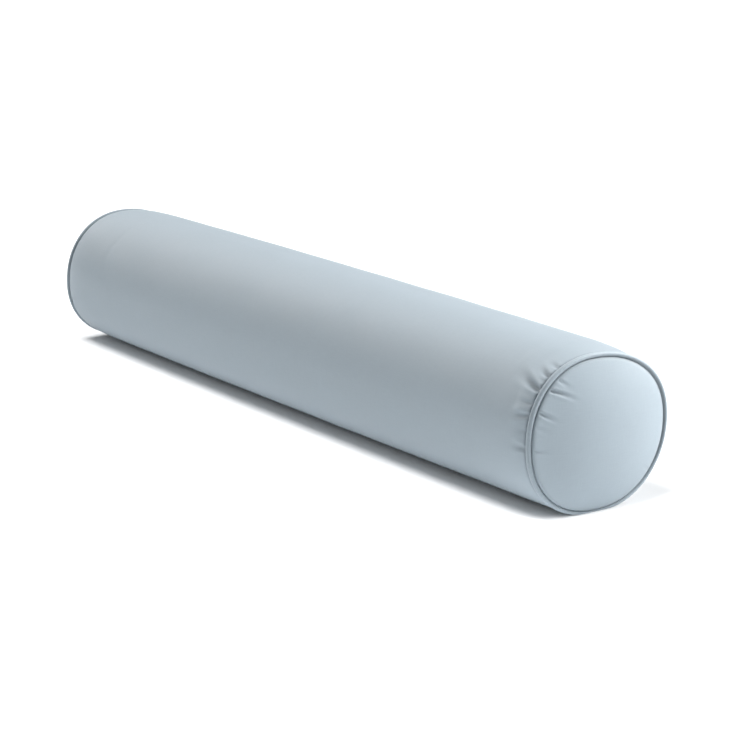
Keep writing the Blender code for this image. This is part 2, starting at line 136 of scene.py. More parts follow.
COVER_COLOUR = (0.279, 0.338, 0.384)
NICKEL_COLOUR = (0.44, 0.45, 0.47)
NYLON_COLOUR = (0.36, 0.44, 0.51)
FLOOR_COLOUR = (0.9, 0.9, 0.9)
LAMP_COLOUR = (1.0, 0.975, 0.955)
BACK_WALL = 0.7
CAMERA_AZIMUTH = 55.27
CAMERA_ELEVATION = 14.02
CAMERA_LENS = 117.8
CAMERA_DISTANCE = 3.154
CAMERA_RIGHT = 0.0459
CAMERA_UP = -0.0322


def superellipse(value):
    return np.sign(value) * np.abs(value) ** (2 / SQUARENESS)


def settled(x, radius, angle):
    """World points of the settled section: radius as measured level, angle in degrees from the back."""
    angle = np.radians(angle)
    out = radius * (1 + end_wander(x, angle) / RING_RADIUS)
    y = out * superellipse(np.cos(angle))
    z = AXIS_HEIGHT + out * FLATTEN * superellipse(np.sin(angle))
    soft = (z + np.sqrt(z ** 2 + FLOOR_ROUNDING ** 2)) / 2
    return np.stack(np.broadcast_arrays(x, y, np.maximum(soft, 0.0003)), axis=-1)


def end_wander(x, angle):
    """How far each end's ring strays from a true oval: hand-sewn, and pulled about by its stuffing."""
    right = (0.4 - 0.3 * np.cos(angle) - 0.9 * np.sin(angle) + 0.1 * np.cos(2 * angle)
             + 0.9 * np.cos(3 * angle) + 0.7 * np.sin(3 * angle) + 0.5 * np.sin(4 * angle))
    left = (0.2 * np.cos(angle) - 0.5 * np.sin(angle) - 0.5 * np.cos(2 * angle)
            + 0.5 * np.cos(3 * angle + 1.0) + 0.5 * np.sin(4 * angle))
    near = np.exp(-((END_X - np.abs(x)) / 0.020) ** 2) * (np.abs(x) < END_X + 0.05)
    return 0.001 * near * np.where(x > 0, right, left)


def angle_at_height(height):
    """The angle whose point on the body lies this far above or below the axis, in degrees."""
    return math.degrees(math.asin((height / (TUBE_RADIUS * FLATTEN)) ** (SQUARENESS / 2)))


def smoothstep(low, high, value):
    t = np.clip((value - low) / (high - low), 0.0, 1.0)
    return t * t * (3 - 2 * t)


# ---- mesh helpers -----------------------------------------------------------------------------------

def grid_mesh(name, points, wrap=False):
    """An object from a grid of points, rows by columns. wrap joins the last column to the first."""
    rows, columns = points.shape[:2]
    index = np.arange(rows * columns).reshape(rows, columns)
    right = np.roll(index, -1, axis=1) if wrap else index[:, 1:]
    left = index if wrap else index[:, :-1]
    quads = np.stack([left[:-1], left[1:], right[1:], right[:-1]], axis=-1).reshape(-1, 4)
    mesh = bpy.data.meshes.new(name)
    mesh.from_pydata(points.reshape(-1, 3).tolist(), [], quads.tolist())
    mesh.shade_smooth()
    obj = bpy.data.objects.new(name, mesh)
    bpy.context.scene.collection.objects.link(obj)
    return obj


def grid_normals(points, wrap=False):
    """Unit normals of a grid of points, as rows by columns by 3."""
    along = np.gradient(points, axis=0)
    if wrap:
        across = (np.roll(points, -1, axis=1) - np.roll(points, 1, axis=1)) / 2
    else:
        across = np.gradient(points, axis=1)
    normal = np.cross(along, across)
    return normal / np.maximum(np.linalg.norm(normal, axis=-1, keepdims=True), 1e-12)


def set_attribute(obj, name, values):
    attribute = obj.data.attributes.new(name, "FLOAT", "POINT")
    attribute.data.foreach_set("value", np.asarray(values, np.float32).ravel())


def set_cloth_map(obj, u, v):
    """A UV map in metres of cloth, from grids of u and v with the vertices' layout."""
    layer = obj.data.uv_layers.new(name="cloth")
    corners = np.zeros(len(obj.data.loops), np.int32)
    obj.data.loops.foreach_get("vertex_index", corners)
    layer.data.foreach_set("uv", np.stack([u.ravel()[corners], v.ravel()[corners]], -1).ravel())


def apply_modifiers(obj):
    evaluated = obj.evaluated_get(bpy.context.evaluated_depsgraph_get())
    mesh = bpy.data.meshes.new_from_object(evaluated)
    obj.modifiers.clear()
    obj.data = mesh


def ripple(seed, x, angle, waves, size):
    """Smooth seeded unevenness of about size, from a few long waves along x and round the section."""
    rng = np.random.default_rng(seed)
    total = np.zeros(np.broadcast(x, angle).shape)
    for _ in range(waves):
        along = rng.uniform(4.0, 26.0)
        around = rng.integers(0, 6)
        phase = rng.uniform(0, 2 * math.pi, 2)
        weight = rng.uniform(0.4, 1.0) / (1 + along / 14)
        total += weight * np.sin(along * x * 2 + phase[0]) * np.cos(np.radians(angle) * around + phase[1])
    return size * total / math.sqrt(waves)


# ---- gathers ----------------------------------------------------------------------------------------

class Gather:
    """A fold that runs out of the piping: a hollow with raised flanks, fading as it goes."""

    def __init__(self, angle, length, width, depth, lean):
        self.angle = angle  # degrees round the end
        self.length = length
        self.width = width
        self.depth = depth
        self.lean = lean  # degrees that it turns over its length

    def height(self, distance, angle, radius):
        """Height in metres at a distance from the piping and an angle round it."""
        t = distance / self.length
        middle = self.angle + self.lean * t
        away = (angle - middle + 180.0) % 360.0 - 180.0
        across = np.radians(away) * radius / (self.width * (0.55 + 0.75 * np.clip(t, 0, 1.5)))
        fade = np.exp(-(t / 0.62) ** 2) * smoothstep(-0.02, 0.12, t + 0.02)
        hollow = np.exp(-across ** 2)
        flanks = np.exp(-((np.abs(across) - 1.75) / 0.75) ** 2)
        return self.depth * fade * (0.42 * flanks - hollow)


RIGHT_BODY_GATHERS = [
    Gather(142.0, 0.050, 0.0056, 0.0054, -8.0),
    Gather(130.5, 0.026, 0.0038, 0.0036, -5.0),
    Gather(121.5, 0.019, 0.0030, 0.0022, -3.0),
    Gather(152.5, 0.034, 0.0040, 0.0018, 1.0),
    Gather(161.0, 0.034, 0.0040, 0.0034, 3.0),
    Gather(171.0, 0.022, 0.0036, 0.0014, 2.0),
    Gather(182.0, 0.028, 0.0036, 0.0024, 0.0),
    Gather(30.0, 0.030, 0.0040, 0.0020, 4.0),
    Gather(19.0, 0.022, 0.0032, 0.0016, 2.0),
    Gather(-33.0, 0.028, 0.0040, 0.0020, -3.0),
    Gather(-46.0, 0.020, 0.0034, 0.0012, -2.0),
]
RIGHT_PANEL_GATHERS = [
    Gather(139.0, 0.030, 0.0034, 0.0032, -9.0),
    Gather(128.5, 0.017, 0.0030, 0.0014, -3.0),
    Gather(157.0, 0.024, 0.0032, 0.0024, 2.0),
    Gather(168.0, 0.016, 0.0030, 0.0010, 2.0),
    Gather(183.0, 0.018, 0.0028, 0.0016, 4.0),
    Gather(25.0, 0.016, 0.0028, 0.0008, 3.0),
    Gather(-38.0, 0.016, 0.0028, 0.0008, -3.0),
]
LEFT_BODY_GATHERS = [
    Gather(28.0, 0.036, 0.0044, 0.0026, 5.0),
    Gather(40.5, 0.024, 0.0034, 0.0018, 3.0),
    Gather(16.5, 0.026, 0.0034, 0.0018, 1.0),
    Gather(62.0, 0.018, 0.0032, 0.0010, 2.0),
    Gather(-20.0, 0.030, 0.0038, 0.0022, -2.0),
    Gather(-34.0, 0.020, 0.0032, 0.0014, -2.0),
    Gather(-58.0, 0.020, 0.0034, 0.0010, -2.0),
    Gather(198.0, 0.018, 0.0034, 0.0008, 2.0),
    Gather(143.0, 0.016, 0.0034, 0.0007, -2.0),
]
LEFT_PANEL_GATHERS = [
    Gather(30.0, 0.022, 0.0030, 0.0018, 5.0),
    Gather(17.0, 0.016, 0.0026, 0.0012, 2.0),
    Gather(46.0, 0.016, 0.0026, 0.0010, 4.0),
    Gather(-24.0, 0.020, 0.0028, 0.0015, -4.0),
    Gather(-41.0, 0.014, 0.0026, 0.0008, -2.0),
    Gather(150.0, 0.016, 0.0028, 0.0010, -4.0),
    Gather(201.0, 0.014, 0.0026, 0.0008, 2.0),
]


def gathered(gathers, distance, angle, radius):
    return sum(gather.height(distance, angle, radius) for gather in gathers)


# ---- cover body -------------------------------------------------------------------------------------

def body_profile():
    """(distance inside the piping's plane, radius) rows from the right seam to the pillow's middle."""
    wrap_radius = PIPING_RADIUS + PIPING_GAP
    into_seam = [(BODY_SEAM_X, SEAM_RADIUS - SEAM_DEPTH), (BODY_SEAM_X, SEAM_RADIUS - SEAM_DEPTH / 2)]
    start, end = math.radians(250.0), math.radians(184.0)
    hug = [(-wrap_radius * math.cos(a), RING_RADIUS + wrap_radius * math.sin(a))
           for a in np.linspace(start, end, 6)]
    rows = into_seam + hug
    first = rows[-1][0] + PIPING_GAP
    distances = list(first + END_ROW_STEP * np.arange(END_ROWS) ** 1.04)
    middle = np.linspace(distances[-1], END_X, MIDDLE_ROWS)[1:]
    for distance in distances + list(middle):
        share = min((distance - first) / SHOULDER_LENGTH, 1.0)
        rise = math.sqrt(1 - (1 - share) ** 2.2)
        rows.append((distance, SHOULDER_RADIUS + (TUBE_RADIUS - SHOULDER_RADIUS) * rise))
    return np.array(rows)


def body_grid():
    """Grids of x, radius, angle and distance from the nearer piping, right end first."""
    half = body_profile()
    distance = np.concatenate([half[:, 0], half[-2::-1, 0]])
    radius = np.concatenate([half[:, 1], half[-2::-1, 1]])
    x = np.concatenate([END_X - half[:, 0], half[-2::-1, 0] - END_X])
    edge = angle_at_height(SLIT_HALF_WIDTH + HEM_RADIUS)
    closed_edge = angle_at_height(1.1 * HEM_RADIUS)
    opening = 1 - smoothstep(SLIT_HALF_LENGTH - 0.010, SLIT_HALF_LENGTH, np.abs(x))
    first = closed_edge + (edge - closed_edge) * opening
    share = np.linspace(0.0, 1.0, AROUND + 1)
    angle = first[:, None] + (360.0 - 2 * first[:, None]) * share[None, :]
    shape = angle.shape
    return (np.broadcast_to(x[:, None], shape), np.broadcast_to(radius[:, None], shape), angle,
            np.broadcast_to(distance[:, None], shape))


def body_points():
    x, radius, angle, distance = body_grid()
    points = settled(x, radius, angle)
    normal = grid_normals(points)
    outward = points - np.array([0.0, 0.0, AXIS_HEIGHT])
    outward[..., 0] = 0.0
    normal *= np.sign((normal * outward).sum(-1, keepdims=True))
    away = distance - PIPING_RADIUS
    right = gathered(RIGHT_BODY_GATHERS, away, angle, radius) * (x > 0)
    left = gathered(LEFT_BODY_GATHERS, away, angle, radius) * (x < 0)
    folds = right + left
    hem = np.minimum(angle, 360.0 - angle)
    near_zip = smoothstep(4.0, 26.0, hem)
    barrel = BARREL * np.sin(np.pi / 2 * np.clip(distance / END_X, 0.0, 1.0)) * near_zip
    underside = 1 - smoothstep(18.0, 40.0, np.abs(angle - 270.0))
    uneven = ripple(11, x, angle, 9, 0.0007) * near_zip * smoothstep(0.0, 0.05, away)
    height = (folds * smoothstep(0.0, 0.002, away) + uneven + barrel) * (1 - underside)
    moved = points + normal * height[..., None]
    moved[..., 2] = np.maximum(moved[..., 2], 0.0002)
    return moved, normal, angle, distance, folds


def simulate_cover(base, distance, angle):
    """Lets the stuffed cloth press out against its sewn edges, and keeps each point near its place."""
    obj = grid_mesh("cover_trial", base)
    if max(obj.data.polygons, key=lambda face: face.center.z).normal.z < 0:
        obj.data.flip_normals()
    pinned = (distance < PIPING_RADIUS) | (np.minimum(angle, 360.0 - angle) < ZIP_PINNED)
    pinned |= np.abs(angle - 270.0) < FLOOR_PINNED
    group = obj.vertex_groups.new(name="sewn")
    group.add(np.nonzero(pinned.ravel())[0].tolist(), 1.0, "REPLACE")
    cloth = obj.modifiers.new("cloth", "CLOTH")
    settings = cloth.settings
    settings.quality = 4
    settings.mass = 0.25
    settings.tension_stiffness = 25
    settings.compression_stiffness = 25
    settings.shear_stiffness = 8
    settings.bending_stiffness = 0.8
    settings.vertex_group_mass = "sewn"
    settings.use_pressure = True
    settings.uniform_pressure_force = SIM_PRESSURE
    settings.effector_weights.gravity = 0.0
    for number in range(1, SIM_FRAMES + 1):
        bpy.context.scene.frame_set(number)
    evaluated = obj.evaluated_get(bpy.context.evaluated_depsgraph_get())
    result = np.zeros(base.size)
    evaluated.data.vertices.foreach_get("co", result)
    bpy.context.scene.frame_set(1)
    bpy.data.objects.remove(obj)
    move = result.reshape(base.shape) - base
    size = np.linalg.norm(move, axis=-1, keepdims=True)
    move *= np.minimum(1.0, SIM_CAP / np.maximum(size, 1e-9))
    for _ in range(SIM_SMOOTHING):
        move[1:-1] = (move[:-2] + 2 * move[1:-1] + move[2:]) / 4
        move[:, 1:-1] = (move[:, :-2] + 2 * move[:, 1:-1] + move[:, 2:]) / 4
    return base + move * smoothstep(0.0, SIM_FADE, distance - PIPING_RADIUS)[..., None]


def hemmed(points):
    """Turns both long edges of the grid under, round a small radius and back beneath the cloth."""
    turn = np.radians(np.array([30.0, 60.0, 90.0, 120.0, 150.0, 180.0]))
    back = np.linspace(0.0, HEM_RETURN, 4)[1:]
    strips = []
    for edge, towards in ((points[:, 0], -1.0), (points[:, -1], 1.0)):
        strip = []
        for a in turn:
            step = np.array([0.0, HEM_RADIUS * (math.cos(a) - 1), towards * HEM_RADIUS * math.sin(a)])
            strip.append(edge + step)
        for length in back:
            step = np.array([0.0, -2 * HEM_RADIUS - 0.03 * length, -towards * length])
            strip.append(edge + step)
        strips.append(np.stack(strip, axis=1))
    return np.concatenate([strips[0][:, ::-1], points, strips[1]], axis=1)


def stuffed_cover():
    """The cover body's grid of points after stuffing, with its angles, distances and folds."""
    points, normal, angle, distance, folds = body_points()
    points = simulate_cover(points, distance, angle)
    points[..., 2] = np.maximum(points[..., 2], 0.0003)
    return points, angle, distance, folds


def make_cover_body(grid):
    points, angle, distance, folds = grid
    whole = hemmed(points)
    added = (whole.shape[1] - points.shape[1]) // 2
    pad = ((0, 0), (added, added))
    body = grid_mesh("cover_body_cloth", whole)
    arc = np.radians(np.pad(angle, pad, mode="edge")) * TUBE_RADIUS
    set_cloth_map(body, arc, whole[..., 0])
    # The gathers' heights, which the cover material turns into painted shade in their hollows and painted
    # light on their flanks.
    set_attribute(body, "crease", np.pad(folds, pad, mode="edge"))
    # Painted shade: the body's cloth is darkened within SEAM_SHADE of the piping, standing in for the
    # piping's shadow in the ditch beside it.
    seam = 1 - smoothstep(PIPING_RADIUS, PIPING_RADIUS + SEAM_SHADE, distance)
    set_attribute(body, "seam", np.pad(seam, pad, mode="edge"))
    finish_cloth(body, Vector((0.0, 0.0, 1.0)))
    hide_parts("cover_body")
    return body


def finish_cloth(obj, outside):
    """Faces the cloth outwards and gives it its thickness, on the inner side."""
    mesh = obj.data
    nearest = max(mesh.polygons, key=lambda face: face.center.dot(outside))
    if nearest.normal.dot(outside) < 0:
        mesh.flip_normals()
    thickness = obj.modifiers.new("thickness", "SOLIDIFY")
    thickness.thickness = CLOTH
    thickness.offset = -1.0
    apply_modifiers(obj)
    obj.data.materials.append(MATERIALS["cover"])
    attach(obj, "bolster")


# ---- end panels and piping --------------------------------------------------------------------------

def tightness(angle):
    """1 at the front of an end, where the panel bulges against its piping, and 0 at the back."""
    return 0.5 + 0.5 * np.cos(np.radians(angle - TIGHT_ANGLE))


def panel_points(side, gathers, seed):
    """The domed panel, from its seam beside the piping to its middle. side is +1 at the right end."""
    rim = SEAM_RADIUS - 0.0006
    rows = [(PANEL_SEAM_X, SEAM_RADIUS - SEAM_DEPTH), (PANEL_SEAM_X, SEAM_RADIUS - 0.0015),
            (PANEL_SEAM_X, rim)]
    for i in range(1, PANEL_ROWS + 1):
        share = math.cos(math.pi / 2 * (i / PANEL_ROWS) ** 0.9)
        lift = (1 - share ** 2.0) ** 0.95
        roll = PANEL_ROLL * (1 - math.exp(-rim * (1 - share) / PANEL_ROLL))
        rows.append((PANEL_SEAM_X + roll + (PANEL_TOP - PANEL_SEAM_X - PANEL_ROLL) * lift, rim * share))
    rows = np.array(rows)
    angle = np.linspace(0.0, 360.0, AROUND, endpoint=False)[None, :]
    x = np.broadcast_to(rows[:, :1], (len(rows), AROUND))
    radius = np.broadcast_to(rows[:, 1:], x.shape)
    angle = np.broadcast_to(angle, x.shape)
    inward = SEAM_RADIUS - radius
    tight = tightness(angle)
    shown = np.arange(len(rows))[:, None] >= 2
    radius = radius + shown * PANEL_PRESS * tight * np.exp(-inward / 0.004)
    x = x + PANEL_PUFF * tight * smoothstep(0.0004, 0.0010, inward) * np.exp(-inward / 0.012)
    folds = gathered(gathers, inward - 0.001, angle, RING_RADIUS)
    folds = folds * smoothstep(0.0005, 0.0030, inward)
    across = radius / SEAM_RADIUS
    uneven = ripple(seed, radius * 2.0, angle, 7, 0.0006) * smoothstep(1.0, 0.8, across) * across
    points = settled(side * (END_X + x + folds + uneven), radius, angle)
    # The last value is painted shade for the ditch between panel and piping: darkest at the seam at the
    # back, where the piping shades it, and faint at the front, where the panel is pressed against the
    # piping.
    return points, angle, radius, folds, (1 - 0.92 * tight) * (1 - smoothstep(0.0004, 0.0038, inward))


def close_middle(panel):
    """Joins the innermost ring of points, which all lie at the panel's middle."""
    edit = bmesh.new()
    edit.from_mesh(panel.data)
    middle = [v for v in edit.verts if math.hypot(v.co.y, v.co.z - AXIS_HEIGHT) < 0.0005]
    bmesh.ops.remove_doubles(edit, verts=middle, dist=0.001)
    edit.to_mesh(panel.data)
    edit.free()


def make_end_panel(name, side, gathers, seed):
    points, angle, radius, folds, seam = panel_points(side, gathers, seed)
    panel = grid_mesh(f"{name}_panel_cloth", points, wrap=True)
    flat = np.radians(angle)
    set_cloth_map(panel, radius * np.cos(flat), radius * np.sin(flat))
    # The gathers' heights, which the cover material turns into painted shade in their hollows and painted
    # light on their flanks.
    set_attribute(panel, "crease", folds)
    set_attribute(panel, "seam", seam)
    close_middle(panel)
    finish_cloth(panel, Vector((side, 0.0, 0.0)))
    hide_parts(f"{name}_end_panel")
    return panel


def make_liner(grid):
    """The filled liner just inside the cover, following its folds."""
    points, angle, distance, folds = grid
    normal = grid_normals(points)
    outward = points - np.array([0.0, 0.0, AXIS_HEIGHT])
    outward[..., 0] = 0.0
    normal *= np.sign((normal * outward).sum(-1, keepdims=True))
    rows = np.nonzero(distance[:, 0] > 0.009)[0]
    inside = (points - normal * (CLOTH + 0.0007))[rows]
    inside[..., 1] = np.minimum(inside[..., 1], LINER_FLAT_Y)
    liner = grid_mesh("liner_cloth", inside, wrap=True)
    liner.data.materials.append(MATERIALS["liner"])
    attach(liner, "bolster")
    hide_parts("liner_body")
    return liner


def make_piping(name, side, seed):
    """The welt: cloth round its cord, with the small creases of a bias strip on a bend, and its flange."""
    steps = 2 * AROUND
    angle = np.linspace(0.0, 360.0, steps, endpoint=False)[:, None]
    open_half = math.degrees(math.asin(0.35))
    round_cord = np.linspace(270.0 - open_half, -90.0 + open_half, PIPING_SIDES + 1)[None, :]
    creases = np.sin(np.radians(angle * 96 + round_cord * 1.6)) * np.sin(np.radians(angle * 7 + 40 * seed))
    thick = PIPING_RADIUS * (1 - 0.018 + 0.018 * creases)
    wander = ripple(seed, np.zeros_like(angle), angle, 9, 0.0002)
    x = END_X + thick * np.cos(np.radians(round_cord)) + wander
    radius = RING_RADIUS + thick * np.sin(np.radians(round_cord))
    leg = np.array([SEAM_RADIUS - 0.0005, SEAM_RADIUS - 0.0040])
    x_leg = np.broadcast_to(np.array([END_X - 0.0009, END_X - 0.0009]), (steps, 2))
    r_leg = np.broadcast_to(leg, (steps, 2))
    x_all = np.concatenate([x_leg[:, ::-1], x, 2 * END_X - x_leg], axis=1)
    r_all = np.concatenate([r_leg[:, ::-1], radius, r_leg], axis=1)
    points = settled(side * x_all, r_all, np.broadcast_to(angle, x_all.shape))
    points = np.swapaxes(points, 0, 1)
    welt = grid_mesh(f"{name}_piping_cloth", points, wrap=True)
    around = np.broadcast_to(np.radians(angle) * RING_RADIUS, x_all.shape).T
    across = np.broadcast_to(np.arange(x_all.shape[1])[None, :] * 0.0011, x_all.shape).T
    set_cloth_map(welt, around + across, around - across)
    # The small creases' heights, which the cover material turns into faint painted shade and light.
    set_attribute(welt, "crease", 0.0006 * np.pad(creases, ((0, 0), (2, 2)), mode="edge").T)
    # Painted shade on the piping's flanks that face the body and the panel, strongest at the back and gone
    # at the front.
    flank = np.pad(np.abs(round_cord - 90.0), ((0, 0), (2, 2)), mode="edge")
    shade = (1 - tightness(angle)) * smoothstep(72.0, 120.0, flank)
    set_attribute(welt, "seam", np.broadcast_to(0.8 * shade, x_all.shape).T)
    mesh = welt.data
    nearest = max(mesh.polygons, key=lambda face: face.center.z)
    if nearest.normal.z < 0:
        mesh.flip_normals()
    thickness = welt.modifiers.new("thickness", "SOLIDIFY")
    thickness.thickness = 0.0006
    thickness.offset = -1.0
    apply_modifiers(welt)
    mesh = welt.data
    mesh.materials.append(MATERIALS["cover"])
    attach(welt, "bolster")
    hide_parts(f"{name}_piping_welt")
    return welt


# ---- materials --------------------------------------------------------------------------------------

class Shader:
    """A material's node tree, built with short calls."""

    def __init__(self, name, colour, roughness, metallic=0.0):
        self.material = bpy.data.materials.new(name)
        self.material.use_nodes = True
        self.nodes = self.material.node_tree.nodes
        self.links = self.material.node_tree.links
        self.bsdf = self.nodes["Principled BSDF"]
        self.set("Base Color", (*colour, 1.0))
        self.set("Roughness", roughness)
        self.set("Metallic", metallic)

    def set(self, socket, value):
        self.bsdf.inputs[socket].default_value = value

    def node(self, kind, **settings):
        node = self.nodes.new(kind)
        for key, value in settings.items():
            if key in node.inputs:
                node.inputs[key].default_value = value
            else:
                setattr(node, key, value)
        return node

    def link(self, source, target):
        self.links.new(source, target)

    def math(self, operation, first, second=None):
        node = self.node("ShaderNodeMath", operation=operation)
        for socket, value in zip(node.inputs, (first, second)):
            if value is None:
                continue
            if isinstance(value, (int, float)):
                socket.default_value = value
            else:
                self.link(value, socket)
        return node.outputs[0]

    def noise(self, vector, scale, detail=2.0, roughness=0.5):
        node = self.node("ShaderNodeTexNoise", Scale=scale, Detail=detail, Roughness=roughness)
        self.link(vector, node.inputs["Vector"])
        return node.outputs["Fac"]

    def mapped(self, vector, scale):
        node = self.node("ShaderNodeMapping")
        node.inputs["Scale"].default_value = scale
        self.link(vector, node.inputs["Vector"])
        return node.outputs["Vector"]

    def ramp(self, value, low, high, start, end):
        node = self.node("ShaderNodeMapRange")
        self.link(value, node.inputs["Value"])
        for socket, number in (("From Min", low), ("From Max", high), ("To Min", start), ("To Max", end)):
            node.inputs[socket].default_value = number
        return node.outputs["Result"]

    def tint(self, colour, factor):
        """The colour scaled by a factor from a node."""
        node = self.node("ShaderNodeVectorMath", operation="SCALE")
        node.inputs[0].default_value = colour
        self.link(factor, node.inputs["Scale"])
        self.link(node.outputs["Vector"], self.bsdf.inputs["Base Color"])

    def bump(self, height, distance, strength=1.0):
        node = self.node("ShaderNodeBump", Distance=distance, Strength=strength)
        self.link(height, node.inputs["Height"])
        self.link(node.outputs["Normal"], self.bsdf.inputs["Normal"])


def weave_height(shader, vector, pitch, weft_axis="Y"):
    """Height of a plain weave, warp and weft passing over each other in turn."""
    split = shader.node("ShaderNodeSeparateXYZ")
    shader.link(vector, split.inputs[0])
    rate = math.pi / pitch
    warp = shader.math("SINE", shader.math("MULTIPLY", split.outputs["X"], rate))
    weft = shader.math("SINE", shader.math("MULTIPLY", split.outputs[weft_axis], rate))
    return shader.math("MULTIPLY", warp, weft)


def cover_material():
    """Tightly woven, softly brushed cloth with a satin bloom."""
    shader = Shader("cover_cloth", COVER_COLOUR, 0.55)
    shader.set("Specular IOR Level", 0.35)
    shader.set("Sheen Weight", 0.22)
    shader.set("Sheen Roughness", 0.45)
    shader.set("Sheen Tint", (0.86, 0.93, 1.0, 1.0))
    cloth = shader.node("ShaderNodeUVMap", uv_map="cloth").outputs["UV"]
    place = shader.node("ShaderNodeTexCoord").outputs["Object"]
    weave = weave_height(shader, cloth, 0.00045)
    warp_slubs = shader.noise(shader.mapped(cloth, (900.0, 60.0, 1.0)), 1.0, 3.0)
    weft_slubs = shader.noise(shader.mapped(cloth, (60.0, 900.0, 1.0)), 1.0, 3.0)
    slubs = shader.math("ADD", warp_slubs, weft_slubs)
    mottle = shader.noise(place, 22.0, 4.0, 0.6)
    crease = shader.node("ShaderNodeAttribute", attribute_name="crease").outputs["Fac"]
    shade = shader.ramp(mottle, 0.3, 0.7, 0.985, 1.015)
    shade = shader.math("MULTIPLY", shade, shader.ramp(slubs, 0.7, 1.3, 0.975, 1.025))
    # Painted shade and light: the gathers' heights darken their hollows, down to 0.86, and lighten their
    # raised flanks a little.
    shade = shader.math("MULTIPLY", shade, shader.ramp(crease, -0.004, 0.0015, 0.86, 1.03))
    # Painted shade: the seam value darkens the cloth, down to 0.55, in the ditches beside the piping and
    # on the piping's flanks.
    seam = shader.node("ShaderNodeAttribute", attribute_name="seam").outputs["Fac"]
    shade = shader.math("MULTIPLY", shade, shader.ramp(seam, 0.0, 1.0, 1.0, 0.55))
    shader.tint(COVER_COLOUR, shade)
    rough = shader.ramp(mottle, 0.3, 0.7, 0.50, 0.60)
    shader.link(rough, shader.bsdf.inputs["Roughness"])
    height = shader.math("ADD", shader.math("MULTIPLY", weave, 0.25), slubs)
    shader.bump(height, 0.00006, 0.6)
    return shader.material


def woven_material(name, colour, pitch, roughness=0.85, sheen=0.1, depth=0.00008):
    """A plain open weave placed by object coordinates, for the hidden cloths, tapes and threads."""
    shader = Shader(name, colour, roughness)
    shader.set("Sheen Weight", sheen)
    place = shader.node("ShaderNodeTexCoord").outputs["Object"]
    weave = weave_height(shader, place, pitch, "Z")
    mottle = shader.noise(place, 160.0, 3.0)
    shade = shader.ramp(mottle, 0.3, 0.7, 0.94, 1.05)
    shade = shader.math("MULTIPLY", shade, shader.ramp(weave, -1.0, 1.0, 0.93, 1.05))
    shader.tint(colour, shade)
    shader.bump(weave, depth, 0.7)
    return shader.material


def fibre_material(name, colour, scale, depth):
    """Matted fibre or open-cell foam."""
    shader = Shader(name, colour, 0.95)
    place = shader.node("ShaderNodeTexCoord").outputs["Object"]
    fine = shader.noise(place, scale, 6.0, 0.7)
    coarse = shader.noise(place, scale / 12, 3.0)
    shader.tint(colour, shader.math("MULTIPLY", shader.ramp(fine, 0.3, 0.7, 0.86, 1.06),
                                    shader.ramp(coarse, 0.3, 0.7, 0.95, 1.03)))
    shader.bump(fine, depth, 0.9)
    return shader.material


def metal_material():
    """Nickel-plated zinc, tumbled, with fine scuffs."""
    shader = Shader("zip_nickel", NICKEL_COLOUR, 0.3, 1.0)
    place = shader.node("ShaderNodeTexCoord").outputs["Object"]
    scuffs = shader.noise(shader.mapped(place, (300.0, 1500.0, 1500.0)), 1.0, 4.0, 0.65)
    stains = shader.noise(place, 420.0, 3.0)
    shader.link(shader.ramp(scuffs, 0.3, 0.7, 0.22, 0.42), shader.bsdf.inputs["Roughness"])
    shader.tint(NICKEL_COLOUR, shader.ramp(stains, 0.3, 0.7, 0.9, 1.05))
    shader.bump(scuffs, 0.00002, 0.5)
    return shader.material


def nylon_material():
    """Dyed nylon monofilament."""
    shader = Shader("zip_nylon", NYLON_COLOUR, 0.35)
    shader.set("Specular IOR Level", 0.5)
    shader.set("Subsurface Weight", 0.05)
    shader.set("Subsurface Scale", 0.001)
    place = shader.node("ShaderNodeTexCoord").outputs["Object"]
    streaks = shader.noise(place, 900.0, 3.0)
    shader.tint(NYLON_COLOUR, shader.ramp(streaks, 0.3, 0.7, 0.92, 1.06))
    shader.link(shader.ramp(streaks, 0.3, 0.7, 0.28, 0.45), shader.bsdf.inputs["Roughness"])
    return shader.material


def floor_material():
    shader = Shader("studio_floor", FLOOR_COLOUR, 0.9)
    shader.set("Specular IOR Level", 0.1)
    place = shader.node("ShaderNodeTexCoord").outputs["Object"]
    grain = shader.noise(place, 30.0, 3.0)
    shader.tint(FLOOR_COLOUR, shader.ramp(grain, 0.3, 0.7, 0.995, 1.005))
    return shader.material


# ---- zip --------------------------------------------------------------------------------------------

def tube_points(path, radius, sides):
    """A tube round a path of points, as one grid with its ends drawn to points."""
    tangent = np.gradient(path, axis=0)
    tangent /= np.linalg.norm(tangent, axis=1, keepdims=True)
    reference = np.array([0.0, 0.0, 1.0]) if abs(tangent[0][2]) < 0.9 else np.array([1.0, 0.0, 0.0])
    side = np.cross(tangent, reference)
    side /= np.linalg.norm(side, axis=1, keepdims=True)
    up = np.cross(side, tangent)
    turn = np.linspace(0.0, 2 * math.pi, sides, endpoint=False)
    cosine, sine = np.cos(turn)[None, :, None], np.sin(turn)[None, :, None]
    ring = radius * (cosine * side[:, None] + sine * up[:, None])
    first = np.repeat(path[:1, None], sides, axis=1)
    last = np.repeat(path[-1:, None], sides, axis=1)
    return np.concatenate([first, path[:, None] + ring, last])


def make_coil(name, side):
    """A row of coil teeth: one monofilament wound round the tape's edge, heads to the middle."""
    turns = int(2 * ROW_HALF_LENGTH / COIL_PITCH) - 1
    per_turn = 12
    phase = np.arange(turns * per_turn + 1) * (2 * math.pi / per_turn)
    shift = 0.0 if side > 0 else COIL_PITCH / 2
    x = -ROW_HALF_LENGTH + COIL_PITCH / 2 + shift + COIL_PITCH * phase / (2 * math.pi)
    reach = np.cos(phase)
    z = AXIS_HEIGHT + side * (COIL_MIDDLE - COIL_REACH * reach)
    y = TAPE_Y + COIL_HALF_HEIGHT * np.sin(phase) * (1 + 0.12 * reach)
    path = np.stack([x, y, z], axis=-1)
    coil = grid_mesh(f"{name}_nylon", tube_points(path, COIL_WIRE_RADIUS, 6), wrap=True)
    dress(coil, "nylon", "zip_teeth", "bolster", name)
    return coil


